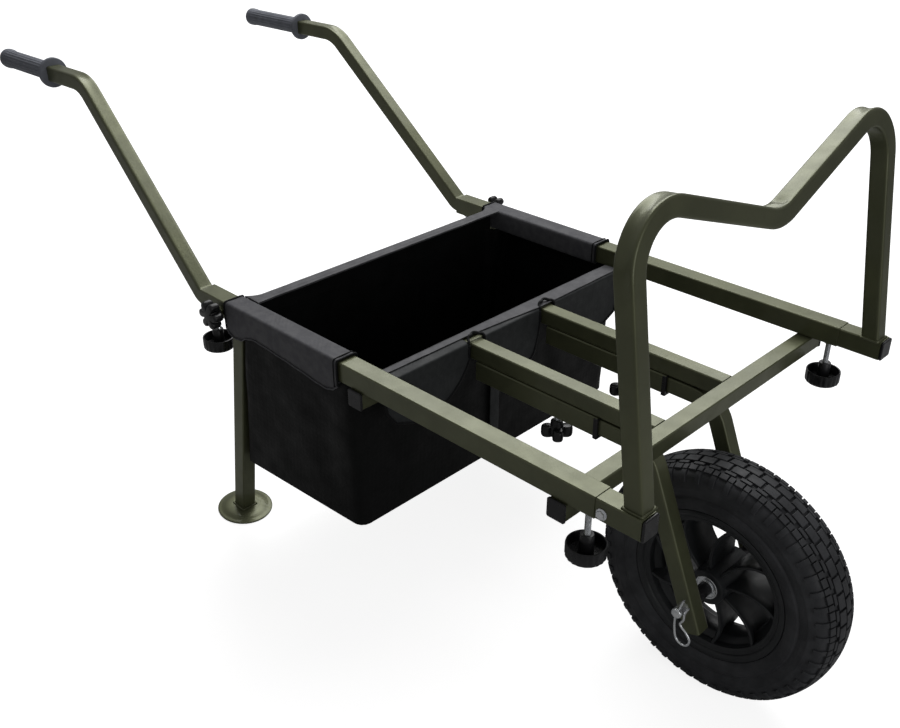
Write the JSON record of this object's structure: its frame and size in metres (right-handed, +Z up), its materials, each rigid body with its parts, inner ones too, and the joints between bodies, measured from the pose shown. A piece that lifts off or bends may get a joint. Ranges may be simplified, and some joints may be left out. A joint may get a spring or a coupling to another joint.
{
  "type": "fishing trolley",
  "caption": "Fishing barrow with a wheel in a tube fork, square-tube rails, a raised front hoop, bent rear handles with grips, legs on round feet and an under-slung cloth bag.",
  "frame": {"origin": "on the floor, under the middle of the whole trolley's length and width", "axes": "+X towards the wheel and the hoop, +Y to the left of someone who stands at the handles, +Z up"},
  "size_m": [1.6086, 0.658, 0.7937],
  "materials": {
    "olive_coat": "semi-gloss olive green powder coat",
    "black_plastic": "glossy black moulded plastic",
    "zinc": "bright zinc plating",
    "tyre_rubber": "matt black rubber",
    "rim_plastic": "satin black moulded plastic",
    "grip_rubber": "ribbed dark grey rubber",
    "bag_cloth": "coated black polyester cloth with bound seams"
  },
  "bodies": {
    "frame": {"rail_left": "olive_coat", "rail_right": "olive_coat", "cross_tube_front": "olive_coat", "cross_cap_front_left": "black_plastic", "cross_cap_front_right": "black_plastic", "cross_tube_rear": "olive_coat", "cross_cap_rear_left": "black_plastic", "cross_cap_rear_right": "black_plastic", "inner_rail_left": "olive_coat", "receiver_left": "olive_coat", "receiver_collar_left": "black_plastic", "inner_rail_right": "olive_coat", "receiver_right": "olive_coat", "receiver_collar_right": "black_plastic", "leg_left": "olive_coat", "foot_disc_left": "olive_coat", "leg_right": "olive_coat", "foot_disc_right": "olive_coat", "bag_sleeve_left": "bag_cloth", "bag_sleeve_right": "bag_cloth", "bag": "bag_cloth"},
    "hoop": {"hoop_bar": "olive_coat", "hoop_stub_left": "olive_coat", "stub_cap_left": "black_plastic", "hoop_bolt_left": "zinc", "hoop_stub_right": "olive_coat", "stub_cap_right": "black_plastic", "hoop_bolt_right": "zinc"},
    "handle_left": {"handle_tube_left": "olive_coat", "grip_left": "grip_rubber"},
    "handle_right": {"handle_tube_right": "olive_coat", "grip_right": "grip_rubber"},
    "fork": {"fork_arm_left": "olive_coat", "fork_arm_right": "olive_coat", "axle": "zinc", "axle_spacer_left": "black_plastic", "axle_spacer_right": "black_plastic"},
    "wheel": {"wheel_rim": "rim_plastic", "hub_bearing_left": "zinc", "hub_bearing_right": "zinc", "tyre": "tyre_rubber", "inner_tube": "tyre_rubber"},
    "clip": {"axle_clip": "zinc"},
    "front_clamp_left": {"front_clamp_left_knob": "black_plastic", "front_clamp_left_stud": "zinc"},
    "front_clamp_right": {"front_clamp_right_knob": "black_plastic", "front_clamp_right_stud": "zinc"},
    "rear_clamp_left": {"rear_clamp_left_knob": "black_plastic", "rear_clamp_left_stud": "zinc"},
    "rear_clamp_right": {"rear_clamp_right_knob": "black_plastic", "rear_clamp_right_stud": "zinc"},
    "fork_clamp_left": {"fork_clamp_left_knob": "black_plastic", "fork_clamp_left_stud": "zinc"},
    "fork_clamp_right": {"fork_clamp_right_knob": "black_plastic", "fork_clamp_right_stud": "zinc"},
    "side_clamp_left": {"side_clamp_left_knob": "black_plastic", "side_clamp_left_stud": "zinc"},
    "side_clamp_right": {"side_clamp_right_knob": "black_plastic", "side_clamp_right_stud": "zinc"}
  },
  "joints": [
    {"name": "hoop_slide", "type": "slide", "parent": "frame", "child": "hoop", "axis": [0.9969, 0, 0.0785], "range_m": [0, 0.08]},
    {"name": "handle_left_slide", "type": "slide", "parent": "frame", "child": "handle_left", "axis": [0.9969, 0, 0.0785], "range_m": [-0.08, 0]},
    {"name": "handle_right_slide", "type": "slide", "parent": "frame", "child": "handle_right", "axis": [0.9969, 0, 0.0785], "range_m": [-0.08, 0]},
    {"name": "fork_slide", "type": "slide", "parent": "frame", "child": "fork", "axis": [0.9969, 0, 0.0785], "range_m": [-0.03, 0.06]},
    {"name": "wheel_spin", "type": "hinge", "parent": "fork", "child": "wheel", "pos_m": [0.62086, 0, 0.1835], "axis": [0, 1, 0], "continuous": true},
    {"name": "clip_pull", "type": "slide", "parent": "fork", "child": "clip", "axis": [-0.196, 0, -0.9806], "range_m": [0, 0.036]},
    {"name": "front_clamp_left_turn", "type": "hinge", "parent": "frame", "child": "front_clamp_left", "pos_m": [0.57466, 0.285, 0.38309], "axis": [0.0785, 0, -0.9969], "range_deg": [0, 360]},
    {"name": "rear_clamp_left_turn", "type": "hinge", "parent": "frame", "child": "rear_clamp_left", "pos_m": [-0.15808, 0.285, 0.32542], "axis": [0.0785, 0, -0.9969], "range_deg": [0, 360]},
    {"name": "fork_clamp_left_turn", "type": "hinge", "parent": "frame", "child": "fork_clamp_left", "pos_m": [0.36619, 0.08, 0.34261], "axis": [0.0785, 0, -0.9969], "range_deg": [0, 360]},
    {"name": "side_clamp_left_turn", "type": "hinge", "parent": "frame", "child": "side_clamp_left", "pos_m": [-0.12215, 0.307, 0.39144], "axis": [0, 1, 0], "range_deg": [0, 360]},
    {"name": "front_clamp_right_turn", "type": "hinge", "parent": "frame", "child": "front_clamp_right", "pos_m": [0.57466, -0.285, 0.38309], "axis": [0.0785, 0, -0.9969], "range_deg": [0, 360]},
    {"name": "rear_clamp_right_turn", "type": "hinge", "parent": "frame", "child": "rear_clamp_right", "pos_m": [-0.15808, -0.285, 0.32542], "axis": [0.0785, 0, -0.9969], "range_deg": [0, 360]},
    {"name": "fork_clamp_right_turn", "type": "hinge", "parent": "frame", "child": "fork_clamp_right", "pos_m": [0.36619, -0.08, 0.34261], "axis": [0.0785, 0, -0.9969], "range_deg": [0, 360]},
    {"name": "side_clamp_right_turn", "type": "hinge", "parent": "frame", "child": "side_clamp_right", "pos_m": [-0.12215, -0.307, 0.39144], "axis": [0, -1, 0], "range_deg": [0, 360]}
  ]
}
